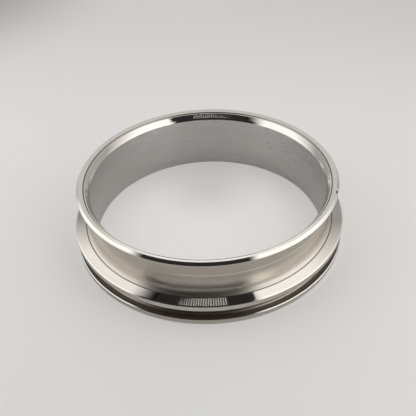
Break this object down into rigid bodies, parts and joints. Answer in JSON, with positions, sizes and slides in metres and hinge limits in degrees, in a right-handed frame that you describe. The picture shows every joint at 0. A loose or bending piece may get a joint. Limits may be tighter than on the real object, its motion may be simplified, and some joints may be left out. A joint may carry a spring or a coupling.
{
  "type": "sanitary clamp ferrule",
  "caption": "Turned stainless steel ring with a thin seal rim, a waist for a clamp, and a grooved shoulder at the foot, open right through.",
  "frame": {"origin": "centre of the ring at the foot, on the surface it stands on", "axes": "+Z along the ring's axis, from the grooved foot to the seal rim"},
  "size_m": [0.119, 0.119, 0.0292],
  "materials": {
    "steel": "satin on the waist and in the bore, bright turned on the bevels, lands and seal face"
  },
  "bodies": {
    "root": {"ferrule": "steel"}
  },
  "joints": []
}
